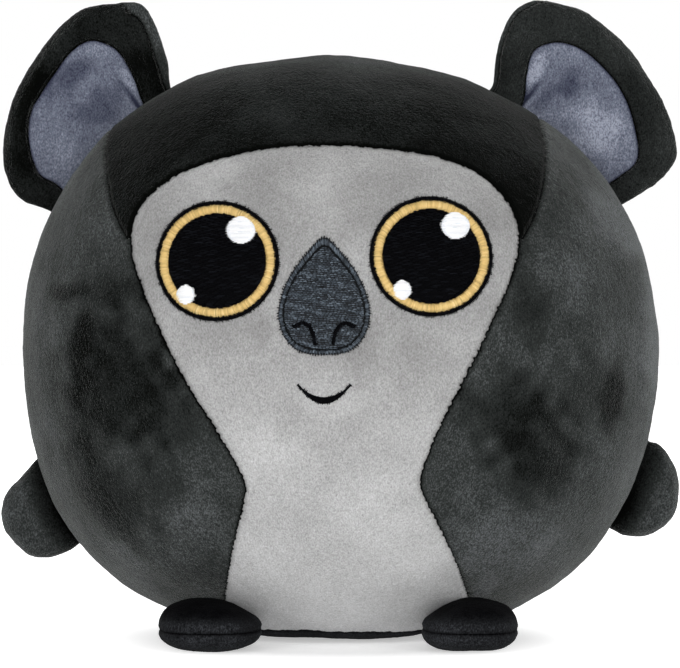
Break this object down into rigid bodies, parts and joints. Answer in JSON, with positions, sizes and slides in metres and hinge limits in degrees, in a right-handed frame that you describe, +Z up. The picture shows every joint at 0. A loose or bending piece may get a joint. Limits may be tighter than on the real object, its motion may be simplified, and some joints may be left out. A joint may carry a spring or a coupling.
{
  "type": "plush koala",
  "caption": "Round stuffed plush koala that sits on its underside, with padded ears and arms that bend at their seams and a face stitched in thread.",
  "frame": {"origin": "on the flat of the underside, below the middle of the round body", "axes": "+Z up, the face looks along -Y, and the toy's own left side is at +X"},
  "size_m": [0.2446, 0.2023, 0.2279],
  "materials": {
    "charcoal_plush": "short-pile minky plush, charcoal",
    "black_plush": "short-pile minky plush, near black",
    "grey_plush": "short-pile minky plush, light grey",
    "blue_grey_plush": "short-pile minky plush, blue grey",
    "fibre_filling": "loose white polyester fibre",
    "black_thread": "glossy embroidery thread, black",
    "gold_thread": "glossy embroidery thread in satin stitch, gold",
    "white_thread": "glossy embroidery thread, white",
    "slate_thread": "glossy embroidery thread in fill stitch, slate grey"
  },
  "bodies": {
    "body": {"body_stuffing": "fibre_filling", "base_panel": "black_plush", "face_belly_panel": "grey_plush", "forehead_panel": "charcoal_plush", "side_panel_right": "charcoal_plush", "side_panel_left": "charcoal_plush", "back_panel_right": "charcoal_plush", "back_panel_left": "charcoal_plush", "eye_outline_right": "black_thread", "eye_outline_left": "black_thread", "eye_ring_right": "gold_thread", "eye_ring_left": "gold_thread", "pupil_right": "black_thread", "pupil_left": "black_thread", "glint_right": "white_thread", "glint_left": "white_thread", "small_glint_right": "white_thread", "small_glint_left": "white_thread", "nose_border": "slate_thread", "nose_fill": "slate_thread", "nostril_right": "black_thread", "nostril_left": "black_thread", "mouth": "black_thread", "foot_top_right": "black_plush", "foot_top_left": "black_plush", "foot_sole_right": "black_plush", "foot_sole_left": "black_plush", "foot_stuffing_right": "fibre_filling", "foot_stuffing_left": "fibre_filling"},
    "ear_right": {"ear_back_right": "charcoal_plush", "ear_rim_right": "charcoal_plush", "ear_lining_right": "blue_grey_plush", "ear_stuffing_right": "fibre_filling"},
    "ear_left": {"ear_back_left": "charcoal_plush", "ear_rim_left": "charcoal_plush", "ear_lining_left": "blue_grey_plush", "ear_stuffing_left": "fibre_filling"},
    "arm_right": {"arm_front_right": "charcoal_plush", "arm_back_right": "charcoal_plush", "arm_stuffing_right": "fibre_filling"},
    "arm_left": {"arm_front_left": "charcoal_plush", "arm_back_left": "charcoal_plush", "arm_stuffing_left": "fibre_filling"}
  },
  "joints": [
    {"name": "ear_right_bend", "type": "hinge", "parent": "body", "child": "ear_right", "pos_m": [-0.08451, 0.012, 0.17592], "axis": [0.7133, 0, 0.7009], "range_deg": [-30, 30], "stiffness_Nm_per_rad": 0.01},
    {"name": "ear_left_bend", "type": "hinge", "parent": "body", "child": "ear_left", "pos_m": [0.07965, 0.012, 0.17592], "axis": [0.7133, 0, -0.7009], "range_deg": [-30, 30], "stiffness_Nm_per_rad": 0.01},
    {"name": "arm_right_flap", "type": "hinge", "parent": "body", "child": "arm_right", "pos_m": [-0.1022, 0.012, 0.04766], "axis": [-0.518, 0, 0.8554], "range_deg": [-25, 25], "stiffness_Nm_per_rad": 0.01},
    {"name": "arm_left_flap", "type": "hinge", "parent": "body", "child": "arm_left", "pos_m": [0.10506, 0.012, 0.05401], "axis": [-0.4648, 0, -0.8854], "range_deg": [-25, 25], "stiffness_Nm_per_rad": 0.01}
  ]
}
